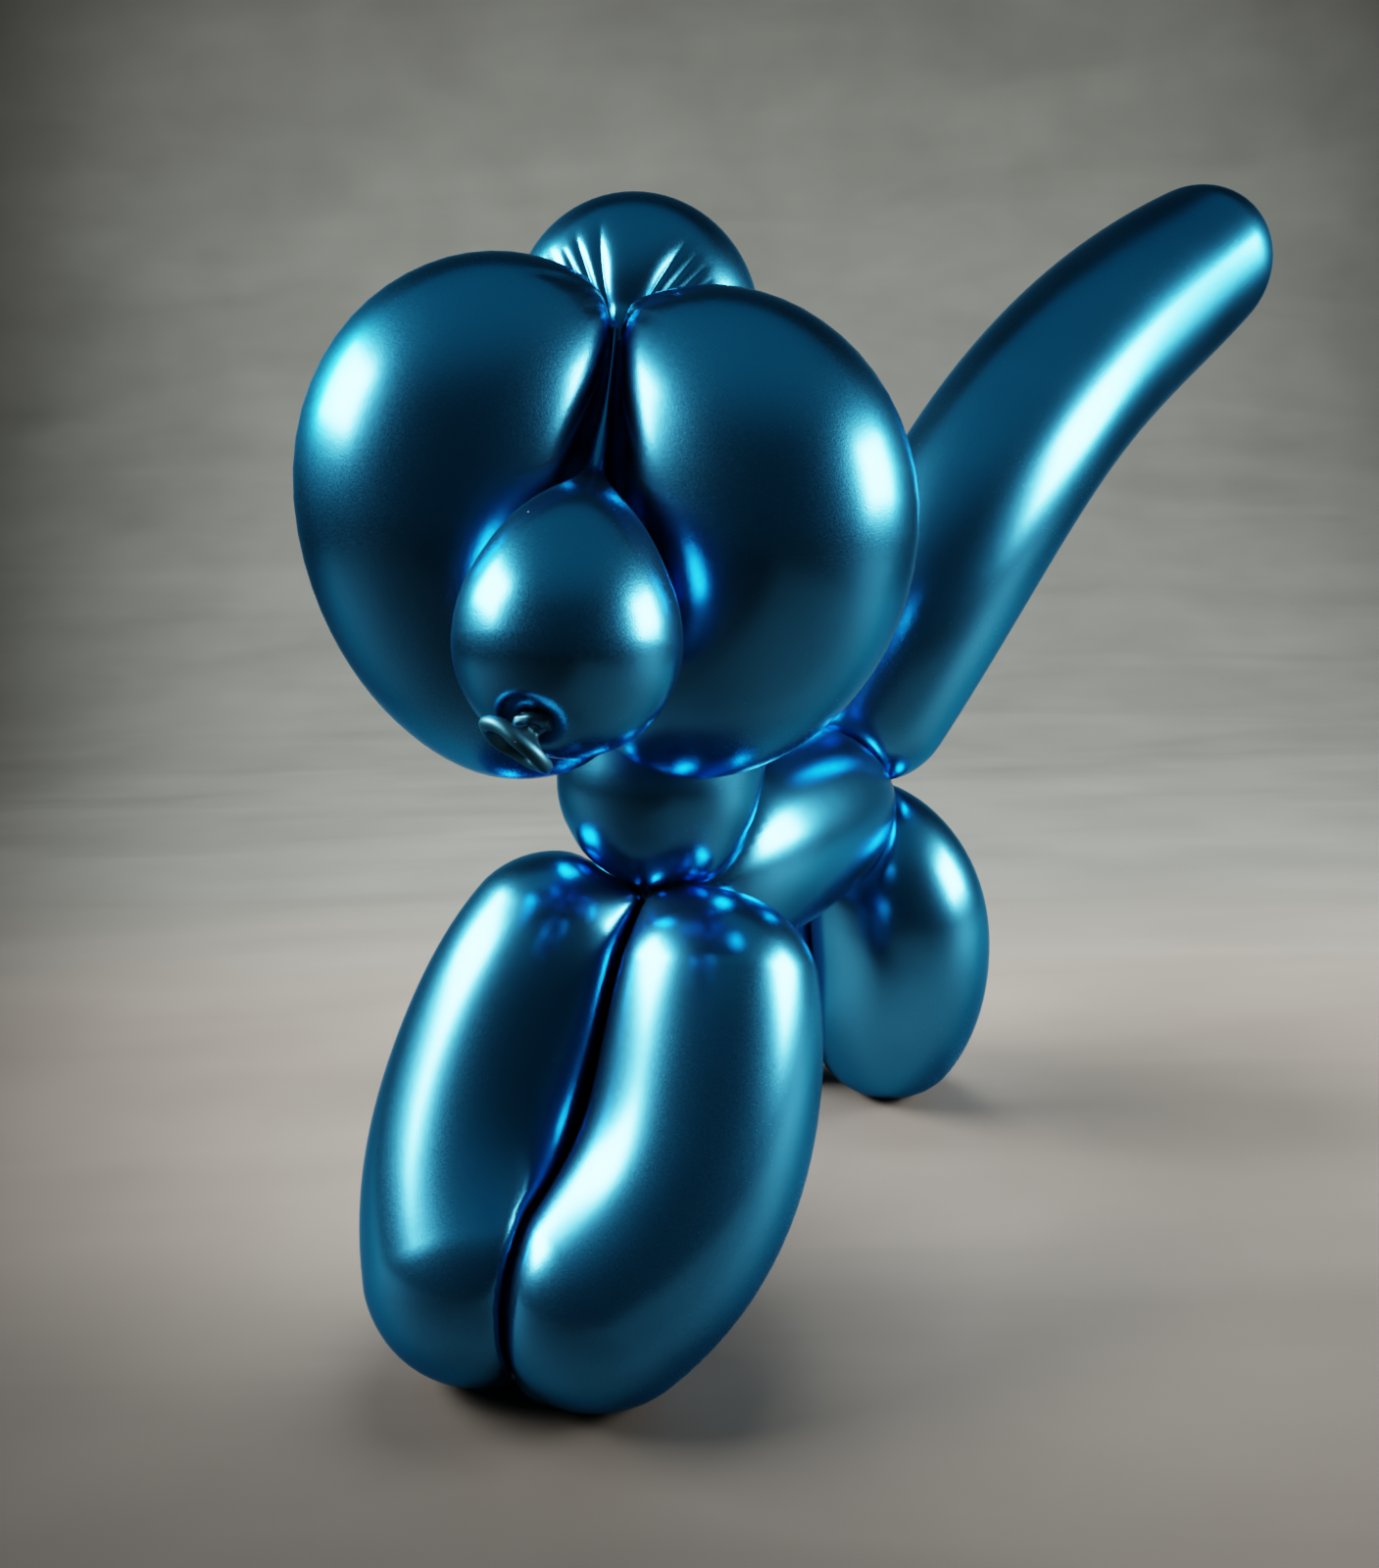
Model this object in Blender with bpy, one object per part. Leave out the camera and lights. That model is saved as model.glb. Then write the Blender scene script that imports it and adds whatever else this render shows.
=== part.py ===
# A balloon dog twisted from one long metallic latex balloon, as one solid.
# It faces -Y, stands on four feet on z = 0, and its left side is at +X.
# The origin is under the middle of its box. Sizes below are in millimetres.
import math

import bmesh
import bpy
from mathutils import Matrix, Vector

MILLIMETRE = 0.001

# The twists, where the latex is wrung and the bubbles meet.
TWISTS = {
    "shoulder": (-17.5, -80.5, 85.5),
    "hip": (-17.5, 23.5, 89.5),
    "crown": (-4.0, -112.5, 191.5),
    "ear_fold": (-8.0, -113.5, 124.5),
    "front_fold": (-21.5, -132.5, 5.0),
    "hind_fold": (-25.5, 38.0, 9.0),
}

# How far each pair is turned about the line between its two twists, in degrees.
PAIR_TURN = {"ear": -29.3, "front_leg": -9.4, "hind_leg": 7.7}

# Ears and legs: two bubbles side by side between the same two twists.
# spread: how far out the centre line runs, at its start, at two points between, and at its end.
# inset: how far its ends stay from the twists. bow: how far it bends across the pair.
# radius, ends: half the thickness at the middle, and at both ends. fullness: higher is more
# like a sausage, lower is more like an egg.
PAIRED_BUBBLES = {
    "ear_right": {
        "pair": "ear", "side": -1, "twists": ("crown", "ear_fold"),
        "spread": (15.8, 32.4, 23.9, 16.3), "inset": (8.3, 14.3), "bow": 2.9,
        "radius": 26.1, "ends": (17.5, 22.0), "fullness": 3.6,
    },
    "ear_left": {
        "pair": "ear", "side": 1, "twists": ("crown", "ear_fold"),
        "spread": (13.5, 30.0, 25.4, 16.2), "inset": (11.0, 13.4), "bow": 8.0,
        "radius": 25.6, "ends": (16.3, 20.3), "fullness": 3.1,
    },
    "front_leg_right": {
        "pair": "front_leg", "side": -1, "twists": ("shoulder", "front_fold"),
        "spread": (18.0, 21.5, 26.3, 13.9), "inset": (15.0, 18.2), "bow": -3.2,
        "radius": 23.0, "ends": (20.2, 22.9), "fullness": 3.6,
    },
    "front_leg_left": {
        "pair": "front_leg", "side": 1, "twists": ("shoulder", "front_fold"),
        "spread": (17.5, 20.5, 25.1, 10.7), "inset": (16.9, 20.2), "bow": -3.0,
        "radius": 21.8, "ends": (20.1, 21.5), "fullness": 3.6,
    },
    "hind_leg_right": {
        "pair": "hind_leg", "side": -1, "twists": ("hip", "hind_fold"),
        "spread": (11.4, 26.0, 24.3, 18.1), "inset": (12.4, 10.2), "bow": 3.8,
        "radius": 23.6, "ends": (17.2, 21.9), "fullness": 2.6,
    },
    "hind_leg_left": {
        "pair": "hind_leg", "side": 1, "twists": ("hip", "hind_fold"),
        "spread": (9.6, 24.2, 22.0, 16.7), "inset": (14.7, 14.0), "bow": 4.4,
        "radius": 23.5, "ends": (15.9, 21.6), "fullness": 2.8,
    },
}

# The nose is drawn out to the crown: (distance along its centre line, half its thickness there).
NOSE_THICKNESS = (
    (0.0, 16.5), (3.0, 15.7), (6.0, 14.4), (9.0, 12.9), (12.0, 11.2), (15.0, 9.3), (18.0, 7.4),
    (21.0, 5.7), (25.0, 4.2), (30.0, 3.3), (38.0, 3.0), (48.0, 3.0), (58.0, 3.0),
)

# The other bubbles follow a centre line of their own, given by the four points of its curve.
SINGLE_BUBBLES = {
    "nose": {
        "line": ((7.8, -150.8, 144.0), (7.6, -148.2, 157.5), (4.8, -136.7, 168.5), (-3.4, -113.9, 189.9)),
        "thickness": NOSE_THICKNESS,
    },
    "neck": {
        "line": ((-19.5, -74.3, 108.2), (-20.5, -61.5, 139.0), (-25.0, -66.0, 182.5), (-14.4, -86.7, 193.9)),
        "radius": 23.0, "ends": (20.7, 22.0), "fullness": 2.3,
    },
    "body": {
        "line": ((-22.0, -65.7, 85.6), (-19.0, -52.1, 86.9), (-17.5, -21.6, 88.9), (-15.9, 5.4, 86.9)),
        "radius": 24.0, "ends": (16.8, 18.6), "fullness": 2.5,
    },
    "tail": {
        "line": ((-9.8, 26.7, 110.6), (18.0, 42.6, 181.6), (22.9, 108.0, 201.1), (46.0, 148.3, 226.3)),
        "radius": 24.9, "ends": (20.4, 22.2), "fullness": 3.8,
    },
}

# The lumps of wrung latex at the twists: half their size.
TWIST_LUMPS = {
    "shoulder": 9.0, "hip": 9.0, "crown": 4.0, "ear_fold": 4.0, "front_fold": 3.5, "hind_fold": 3.5,
}

# The mouth of the balloon: a knot on the nose, then a short funnel that ends in the rolled lip.
# Its outline is turned about KNOT_AXIS: (distance out from the knot, half the thickness there).
KNOT_AT = (9.1, -162.6, 134.5)
KNOT_AXIS = (-0.36, -0.59, -0.72)
MOUTH_OUTLINE = (
    (-6.0, 1.6), (-1.2, 1.9), (0.1, 2.1), (1.6, 1.9), (2.5, 3.0), (3.0, 4.6), (3.7, 5.6),
    (4.5, 5.8), (5.1, 5.3), (5.2, 4.6), (4.8, 3.9), (4.0, 3.4), (2.9, 2.2),
)
MOUTH_TIPS = (-1.0, -0.6)  # how far its closing points lie beyond its first and last outline

SIDES = 20
MOUTH_SIDES = 16
RINGS = 11
TAIL_RINGS = 20
DOME_RINGS = 4
FIRST_DOME_RING = 0.5  # how far it stands from the dome's tip, in steps between dome rings
MOST_LEAN = 0.96  # the sine of the steepest slope a bubble's skin is given
CURVE_SAMPLES = 200  # for measuring along the nose's centre line

# The block below the floor that flattens the feet, in metres.
FLOOR_BLOCK = (0.5, 0.5, 0.1)
LATEX = {"colour": (0.02, 0.17, 0.33, 1.0), "roughness": 0.22, "metallic": 0.85}


def clear_scene():
    for old in list(bpy.data.objects):
        bpy.data.objects.remove(old, do_unlink=True)


def latex_material():
    material = bpy.data.materials.new("blue_latex")
    material.use_nodes = True
    shader = material.node_tree.nodes["Principled BSDF"]
    shader.inputs["Base Color"].default_value = LATEX["colour"]
    shader.inputs["Roughness"].default_value = LATEX["roughness"]
    shader.inputs["Metallic"].default_value = LATEX["metallic"]
    return material


def pair_line(bubble):
    """The four points of a paired bubble's centre line."""
    start, end = (Vector(TWISTS[name]) for name in bubble["twists"])
    along = (end - start).normalized()
    sideways = Vector((1, 0, 0))
    sideways = (sideways - along * sideways.dot(along)).normalized()
    sideways = Matrix.Rotation(math.radians(PAIR_TURN[bubble["pair"]]), 3, along) @ sideways
    across = along.cross(sideways) * bubble["bow"]
    near, far = bubble["inset"]
    third = ((end - start).length - near - far) / 3
    out = [sideways * bubble["side"] * spread for spread in bubble["spread"]]
    return (
        start + out[0] + along * near,
        start + out[1] + along * (near + third) + across,
        end + out[2] - along * (far + third) + across,
        end + out[3] - along * far,
    )


def curve_at(line, step):
    """Point and direction of the centre line, at step 0 to 1."""
    first, second, third, fourth = (Vector(point) for point in line)
    back = 1 - step
    point = first * back**3 + second * 3 * back**2 * step + third * 3 * back * step**2 + fourth * step**3
    slope = (second - first) * back**2 + (third - second) * 2 * back * step + (fourth - third) * step**2
    return point, slope * 3


def radius_at(bubble, step):
    """Half the thickness, and how fast it grows, at step 0 to 1."""
    middle = bubble["radius"]
    fullness = bubble["fullness"]
    across = 2 * step - 1
    loss = middle - bubble["ends"][0 if across < 0 else 1]
    growth = -loss * fullness * abs(across) ** (fullness - 1) * 2 * math.copysign(1, across)
    return middle - loss * abs(across) ** fullness, growth


def lean_of(growth):
    """The angle that the skin leans by where the half thickness grows this fast."""
    return math.asin(max(-MOST_LEAN, min(MOST_LEAN, growth)))


def even_stations(bubble, line, rings):
    """(centre, direction, half thickness, lean) along a bubble, closer together near its ends."""
    found = []
    for i in range(rings + 1):
        step = (1 - math.cos(math.pi * i / rings)) / 2
        point, slope = curve_at(line, step)
        radius, growth = radius_at(bubble, step)
        found.append((point, slope.normalized(), radius, lean_of(growth / slope.length)))
    return found


def table_stations(table, line):
    """(centre, direction, half thickness, lean) at each distance of a thickness table."""
    samples = [curve_at(line, i / CURVE_SAMPLES) for i in range(CURVE_SAMPLES + 1)]
    gone = [0.0]
    for (here, _), (there, _) in zip(samples, samples[1:]):
        gone.append(gone[-1] + (there - here).length)
    found = []
    for i, (far, radius) in enumerate(table):
        point, slope = samples[min(range(len(gone)), key=lambda k: abs(gone[k] - far))]
        before = table[max(i - 1, 0)]
        after = table[min(i + 1, len(table) - 1)]
        growth = (after[1] - before[1]) / (after[0] - before[0])
        found.append((point, slope.normalized(), radius, lean_of(growth)))
    return found


def bubble_rings(bubble, line, rings):
    """(centre, direction, half thickness) of each ring: a dome, the bubble's length and a dome."""
    if "thickness" in bubble:
        body = table_stations(bubble["thickness"], line)
    else:
        body = even_stations(bubble, line, rings)
    found = []
    for (point, forward, radius, lean), sign in ((body[0], -1), (body[-1], 1)):
        edge = math.pi / 2 + sign * lean
        dome = []
        for i in range(DOME_RINGS):
            angle = edge * (i + FIRST_DOME_RING) / (DOME_RINGS + FIRST_DOME_RING)
            ahead = forward * sign * radius * math.cos(angle)
            dome.append((point + ahead, forward, radius * math.sin(angle)))
        found.append((point + forward * sign * radius, dome))
    middle = [(p - f * r * math.sin(lean), f, r * math.cos(lean)) for p, f, r, lean in body]
    tip_a, dome_a = found[0]
    tip_b, dome_b = found[1]
    return tip_a, dome_a + middle + dome_b[::-1], tip_b


def skin(name, tip_a, rings, tip_b, sides):
    """A closed mesh through the rings, with a point at each end."""
    mesh = bmesh.new()
    forward = rings[0][1]
    side = forward.orthogonal().normalized()
    loops = []
    for centre, direction, radius in rings:
        side = (side - direction * side.dot(direction)).normalized()
        up = direction.cross(side)
        loop = []
        for i in range(sides):
            turn = 2 * math.pi * i / sides
            place = centre + (side * math.cos(turn) + up * math.sin(turn)) * radius
            loop.append(mesh.verts.new(place * MILLIMETRE))
        loops.append(loop)
    for here, there in zip(loops, loops[1:]):
        for i in range(sides):
            j = (i + 1) % sides
            mesh.faces.new((here[i], here[j], there[j], there[i]))
    for tip, loop, order in ((tip_a, loops[0], -1), (tip_b, loops[-1], 1)):
        end = mesh.verts.new(Vector(tip) * MILLIMETRE)
        for i in range(sides):
            corners = (loop[i], loop[(i + 1) % sides], end)
            mesh.faces.new(corners[::order])
    bmesh.ops.recalc_face_normals(mesh, faces=mesh.faces[:])
    data = bpy.data.meshes.new(name)
    mesh.to_mesh(data)
    mesh.free()
    shape = bpy.data.objects.new(name, data)
    bpy.context.scene.collection.objects.link(shape)
    return shape


def make_bubble(name, bubble):
    line = bubble["line"] if "line" in bubble else pair_line(bubble)
    rings = TAIL_RINGS if name == "tail" else RINGS
    return skin(name, *bubble_rings(bubble, line, rings), SIDES)


def make_twist(name):
    mesh = bmesh.new()
    bmesh.ops.create_icosphere(mesh, subdivisions=2, radius=TWIST_LUMPS[name] * MILLIMETRE)
    data = bpy.data.meshes.new(name + "_twist")
    mesh.to_mesh(data)
    mesh.free()
    lump = bpy.data.objects.new(name + "_twist", data)
    bpy.context.scene.collection.objects.link(lump)
    lump.location = Vector(TWISTS[name]) * MILLIMETRE
    return lump


def make_mouth():
    axis = Vector(KNOT_AXIS).normalized()
    knot = Vector(KNOT_AT)
    rings = [(knot + axis * out, axis, radius) for out, radius in MOUTH_OUTLINE]
    tip_a = rings[0][0] + axis * MOUTH_TIPS[0]
    tip_b = rings[-1][0] + axis * MOUTH_TIPS[1]
    return skin("mouth", tip_a, rings, tip_b, MOUTH_SIDES)


def use_as_helper(shape):
    shape.hide_render = True
    shape.display_type = "WIRE"


def join_all(first, others):
    for other in others:
        union = first.modifiers.new("with_" + other.name, "BOOLEAN")
        union.operation = "UNION"
        union.solver = "MANIFOLD"
        union.object = other
        use_as_helper(other)


def flatten_feet(dog):
    """The feet press flat on what the dog stands on."""
    mesh = bmesh.new()
    bmesh.ops.create_cube(mesh, size=1.0)
    data = bpy.data.meshes.new("floor_cutter")
    mesh.to_mesh(data)
    mesh.free()
    cutter = bpy.data.objects.new("floor_cutter", data)
    bpy.context.scene.collection.objects.link(cutter)
    cutter.scale = FLOOR_BLOCK
    cutter.location = (0, 0, -FLOOR_BLOCK[2] / 2)
    cut = dog.modifiers.new("flat_feet", "BOOLEAN")
    cut.operation = "DIFFERENCE"
    cut.solver = "MANIFOLD"
    cut.object = cutter
    use_as_helper(cutter)


def main():
    clear_scene()
    bubbles = {**SINGLE_BUBBLES, **PAIRED_BUBBLES}
    shapes = {name: make_bubble(name, bubble) for name, bubble in bubbles.items()}
    twists = [make_twist(name) for name in TWIST_LUMPS]
    dog = shapes.pop("body")
    dog.name = "balloon_dog"
    dog.data.materials.append(latex_material())
    join_all(dog, list(shapes.values()) + twists + [make_mouth()])
    flatten_feet(dog)
    dog.data.shade_smooth()
    print("balloon dog modelled")


main()
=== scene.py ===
import math

import bpy
import numpy as np
from mathutils import Matrix, Vector


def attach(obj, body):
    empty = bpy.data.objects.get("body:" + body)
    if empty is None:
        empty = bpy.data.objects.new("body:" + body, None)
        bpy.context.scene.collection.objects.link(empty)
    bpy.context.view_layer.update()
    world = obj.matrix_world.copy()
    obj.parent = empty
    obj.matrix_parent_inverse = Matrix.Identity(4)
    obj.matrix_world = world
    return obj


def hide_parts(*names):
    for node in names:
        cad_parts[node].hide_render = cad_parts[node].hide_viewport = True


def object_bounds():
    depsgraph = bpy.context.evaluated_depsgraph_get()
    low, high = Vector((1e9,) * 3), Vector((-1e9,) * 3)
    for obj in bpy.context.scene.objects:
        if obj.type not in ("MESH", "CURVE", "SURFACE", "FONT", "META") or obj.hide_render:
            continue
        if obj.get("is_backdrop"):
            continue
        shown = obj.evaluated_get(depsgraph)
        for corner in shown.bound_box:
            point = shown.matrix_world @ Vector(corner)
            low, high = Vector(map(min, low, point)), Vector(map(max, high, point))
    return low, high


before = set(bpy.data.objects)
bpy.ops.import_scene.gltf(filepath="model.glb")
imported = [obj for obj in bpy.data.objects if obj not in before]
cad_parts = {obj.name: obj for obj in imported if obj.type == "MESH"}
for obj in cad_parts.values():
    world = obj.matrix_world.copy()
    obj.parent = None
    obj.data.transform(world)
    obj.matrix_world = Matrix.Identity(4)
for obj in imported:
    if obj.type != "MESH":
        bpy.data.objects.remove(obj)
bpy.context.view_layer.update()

mm = 0.001


def unit(vector):
    vector = np.asarray(vector, float)
    return vector / np.linalg.norm(vector, axis=-1, keepdims=True)


camera = {
    "place": (117.0, -326.9, 163.6),
    "turn": 27.23,  # degrees that it looks towards -X, away from +Y
    "down": 13.81,
    "tilt": 1.65,
    "lens": 33.0,
    "rise": 0.0433,  # the shift that frames the whole tail above and the feet below
    "nearest": 0.01,  # m in front of the lens where it starts to see
}


def makeCamera():
    turn, down, tilt = (math.radians(camera[name]) for name in ("turn", "down", "tilt"))
    ahead = Vector((-math.sin(turn) * math.cos(down), math.cos(turn) * math.cos(down), -math.sin(down)))
    levelRight = Vector((math.cos(turn), math.sin(turn), 0))
    levelUp = levelRight.cross(ahead)
    right = levelRight * math.cos(tilt) - levelUp * math.sin(tilt)
    up = levelRight * math.sin(tilt) + levelUp * math.cos(tilt)
    data = bpy.data.cameras.new("camera")
    data.lens = camera["lens"]
    data.shift_y = camera["rise"]
    eye = bpy.data.objects.new("camera", data)
    facing = Matrix((right, up, -ahead)).transposed().to_4x4()
    eye.matrix_world = Matrix.Translation(Vector(camera["place"]) * mm) @ facing
    data.clip_start = camera["nearest"]
    bpy.context.scene.collection.objects.link(eye)
    bpy.context.scene.camera = eye


makeCamera()
print("camera placed")


# Where the balloon is twisted, in millimetres.
twists = {
    "shoulder": (-17.5, -80.5, 85.5),
    "hip": (-17.5, 23.5, 89.5),
    "crown": (-4.0, -112.5, 191.5),
    "earFold": (-8.0, -113.5, 124.5),
    "frontFold": (-21.5, -132.5, 5.0),
    "hindFold": (-25.5, 38.0, 9.0),
}
pairTurn = {"ear": -29.3, "frontLeg": -9.4, "hindLeg": 7.7}  # degrees about the line between the twists

# In the order the one long balloon was twisted, in millimetres. A bubble follows the four points of
# its line, or lies beside the line between its pair's two twists: spread out from it at four points,
# set in from the twists and bowed forwards. Its radius falls to its ends, later the fuller it is.
bubbles = {
    "nose": {
        "to": "crown",
        "line": ((7.8, -150.8, 144.0), (7.6, -148.2, 157.5), (4.4, -133.7, 166.5), (-3.4, -113.9, 189.9)),
        "thickness": (  # (distance along the line, half thickness)
            (0, 16.5), (5, 14.8), (10, 12.3), (14, 9.9), (18, 7.4),
            (22, 4.9), (26, 2.8), (31, 1.4), (70, 0.9),
        ),
    },
    "earRight": {
        "from": "crown", "to": "earFold", "pair": "ear", "side": -1,
        "spread": (15.8, 32.4, 23.9, 16.3), "inset": (8.3, 14.3), "bow": 2.9,
        "radius": 26.1, "ends": (17.5, 22.0), "fullness": 3.6,
    },
    "earLeft": {
        "from": "earFold", "to": "crown", "pair": "ear", "side": 1,
        "spread": (13.5, 30.0, 25.4, 16.2), "inset": (11.0, 13.4), "bow": 8.0,
        "radius": 25.6, "ends": (16.3, 20.3), "fullness": 3.1,
    },
    "neck": {
        "from": "crown", "to": "shoulder",
        "line": ((-14.4, -86.7, 193.9), (-25.0, -66.0, 182.5), (-20.5, -61.5, 139.0), (-19.5, -74.3, 108.2)),
        "radius": 23.0, "ends": (22.0, 20.7), "fullness": 2.3,
        "aim": {"from": (-4.4, -111.2, 187.4)},  # where this end is drawn to, beside its twist
        "blunt": {"from": 0.10, "to": 0.88},
        "draw": {"from": 0.8},  # below 1 it narrows sooner on its way to the twist
    },
    "frontLegRight": {
        "from": "shoulder", "to": "frontFold", "pair": "frontLeg", "side": -1,
        "spread": (18.0, 21.5, 26.3, 13.9), "inset": (15.0, 18.7), "bow": -3.2,
        "radius": 23.0, "ends": (20.2, 22.9), "fullness": 3.6,
    },
    "frontLegLeft": {
        "from": "frontFold", "to": "shoulder", "pair": "frontLeg", "side": 1,
        "spread": (17.5, 20.5, 25.1, 10.7), "inset": (16.9, 20.2), "bow": -3.0,
        "radius": 21.8, "ends": (20.1, 21.5), "fullness": 3.6,
    },
    "body": {
        "from": "shoulder", "to": "hip",
        "line": ((-22.0, -65.7, 85.6), (-19.0, -52.1, 86.9), (-17.5, -21.6, 88.9), (-15.9, 5.4, 86.9)),
        "radius": 24.0, "ends": (16.8, 18.6), "fullness": 2.5,
    },
    "hindLegRight": {
        "from": "hip", "to": "hindFold", "pair": "hindLeg", "side": -1,
        "spread": (11.4, 26.0, 24.3, 18.1), "inset": (12.4, 10.2), "bow": 3.8,
        "radius": 23.6, "ends": (17.2, 21.9), "fullness": 2.6,
    },
    "hindLegLeft": {
        "from": "hindFold", "to": "hip", "pair": "hindLeg", "side": 1,
        "spread": (9.6, 24.2, 22.0, 16.7), "inset": (14.7, 14.0), "bow": 4.4,
        "radius": 23.5, "ends": (15.9, 21.6), "fullness": 2.8,
    },
    "tail": {
        "from": "hip",
        "line": ((-9.8, 26.7, 110.6), (18.0, 42.6, 181.6), (22.9, 108.0, 201.1), (46.0, 148.3, 226.3)),
        "radius": 24.9, "ends": (20.4, 22.2), "fullness": 3.8,
    },
}
# These run from the fold back up to the twist that their pair shares.
returning = ("earLeft", "frontLegLeft", "hindLegLeft")

skin = {
    "sides": 96,
    "spacing": 2.6,  # between rings along a bubble
    "capSpacing": {1: 1.7, 2: 1.2, 4: 0.75},  # and over its round ends, by how finely they are meshed
    "capDoubling": {2: 0.58, 4: 0.52},  # how far out from the twist each doubling of the sides goes
    "capCrowding": 1.3,  # how much closer the rings are near the twist
    "capEven": 0.3,  # and how much of the way is shared out evenly
    "untied": 0.02,  # radians from its very tip to the first ring of an untied end
    "press": 2.6,  # how softly two bubbles meet where they press together
    "footPress": 3.0,
    "gap": 0.06,
    "swellWidth": 5.0,  # how far beside a meeting the squeezed bubbles bulge most
    "wrung": 1.3,  # half the thickness of the wrung latex at a twist
    "blunt": 0.55,  # how round a bubble's end stays where it is drawn out to its twist
    "drawnPast": 0.05,  # the least that an end is drawn out
    "curveSteps": 240,  # along a bubble's line
    "sphereEvery": 3,  # a sphere at every third of them
    "drawnSpheres": 16,  # from a bubble's end to its twist
    "steepest": 0.97,  # the most that a bubble's side slopes along its line
    "drawnRounds": 10,  # tries to find the skin of a drawn-out end
    "settleRounds": 12,  # tries to find where two bubbles meet
    "settleStep": 1.1,  # how far each of these goes, of what it finds missing
    "shortest": 0.3,  # the least that a meeting leaves of a spoke
    "pleatReach": 30.0,  # how far from a twist pleats may go
    "slackReach": 3.2,  # how far from a twist the latex is dull and unstretched
}
# How the first bubble meets the second where that isn't in the usual way: how softly, its share of
# the squeeze, the gap it leaves and how far it bulges out beside the meeting.
meetings = {
    ("earRight", "nose"): (7.0, 0.8, 0.8, 0.0),
    ("nose", "earRight"): (1.0, 0.2, 0.06, 0.0),
    ("earLeft", "nose"): (7.0, 0.8, 0.8, 0.0),
    ("nose", "earLeft"): (1.0, 0.2, 0.06, 0.0),
    ("earRight", "earLeft"): (1.0, 0.5, 0.06, 1.2),
    ("earLeft", "earRight"): (1.0, 0.5, 0.06, 1.2),
    ("frontLegRight", "frontLegLeft"): (5.0, 0.9, 0.06, 0.0),
    ("frontLegLeft", "frontLegRight"): (0.8, 0.1, 0.06, 1.0),
}
usualMeeting = (skin["press"], 0.5, skin["gap"], 0.0)
# How finely the ends that show pleats or the mouth's dimple are meshed: 2 doubles the sides near the
# twist and 4 doubles them twice.
fineness = {
    ("nose", "from"): 2, ("earRight", "from"): 2, ("earLeft", "to"): 2, ("neck", "from"): 4,
    ("frontLegRight", "from"): 2, ("frontLegRight", "to"): 2,
    ("frontLegLeft", "from"): 2, ("frontLegLeft", "to"): 2,
}
# The pleats that show at the crown: degrees round the twist near it and far from it, where each
# starts and ends in mm from the twist, its width in degrees and how steep its sides are.
crownPleats = {
    "neck": (
        (20, 10, 4, 28, 6.5, 0.95), (30, 25, 5, 27, 5.5, 0.95), (38, 34, 6, 25, 5.0, 0.95),
        (46, 41, 6, 27, 4.6, 0.90), (54, 50, 7, 25, 4.2, 0.85), (62, 59, 7, 23, 4.0, 0.75),
        (71, 69, 7, 20, 4.0, 0.60), (83, 82, 7, 18, 4.0, 0.45),
        (-32, -37, 4, 27, 6.5, 0.95), (-43, -45, 5, 26, 5.5, 0.95), (-53, -52, 6, 25, 5.0, 0.95),
        (-62, -59, 7, 24, 4.6, 0.85), (-73, -69, 7, 21, 4.2, 0.65), (-87, -85, 7, 18, 4.0, 0.45),
    ),
    "earRight": (
        (46, 48, 5, 19, 2.8, 1.0), (56, 57, 6, 18, 2.4, 1.1), (66, 66, 6, 17, 2.6, 1.0),
        (77, 76, 6, 16, 2.4, 0.8),
    ),
    "earLeft": (
        (-28, -30, 5, 17, 2.6, 0.9), (-38, -39, 5, 18, 2.4, 1.0), (-48, -48, 6, 17, 2.6, 1.0),
        (-60, -58, 6, 15, 2.4, 0.8),
    ),
}
# The pleats that other bubbles have at a twist: how many, how far they reach, their width in
# degrees and how steep they are.
otherPleats = {
    "ear": {"count": 24, "reach": (13.0, 20.0), "width": (2.8, 3.8), "steep": (0.5, 0.9)},
    "frontLeg": {"count": 17, "reach": (6.0, 14.0), "width": (2.2, 4.2), "steep": (0.22, 0.48)},
    "neck": {"count": 17, "reach": (6.0, 14.0), "width": (2.2, 4.2), "steep": (0.22, 0.48)},
}
pleats = {
    "uneven": 0.35,  # how far one strays from its place, of the room for each
    "veer": 4,  # degrees that one turns on its way out
    "start": 1.5,  # mm from the twist
    "fadeIn": (0.5, 1.15),  # where one fades in, of the way to its start
    "fadeOut": 0.45,  # and from where it fades out, of the way along it
    "crownHalf": 92,  # degrees either side of the neck's top where only its crownPleats are
}
scatter = np.random.default_rng(7)


def smoothStep(value, low, high):
    t = np.clip((value - low) / (high - low), 0, 1)
    return t * t * (3 - 2 * t)


def smoothTable(table, far):
    # a smooth curve through a table of (distance, half thickness), without overshoot
    x, y = table[:, 0], table[:, 1]
    slopes = np.diff(y) / np.diff(x)
    tangent = np.zeros(len(x))
    same = slopes[:-1] * slopes[1:] > 0
    tangent[1:-1][same] = 2 / (1 / slopes[:-1][same] + 1 / slopes[1:][same])
    tangent[-1] = slopes[-1]
    i = np.clip(np.searchsorted(x, far, side="right") - 1, 0, len(x) - 2)
    step = x[i + 1] - x[i]
    t = np.clip((far - x[i]) / step, 0, 1)
    return (
        (2 * t**3 - 3 * t**2 + 1) * y[i] + (t**3 - 2 * t**2 + t) * step * tangent[i]
        + (3 * t**2 - 2 * t**3) * y[i + 1] + (t**3 - t**2) * step * tangent[i + 1]
    )


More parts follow.
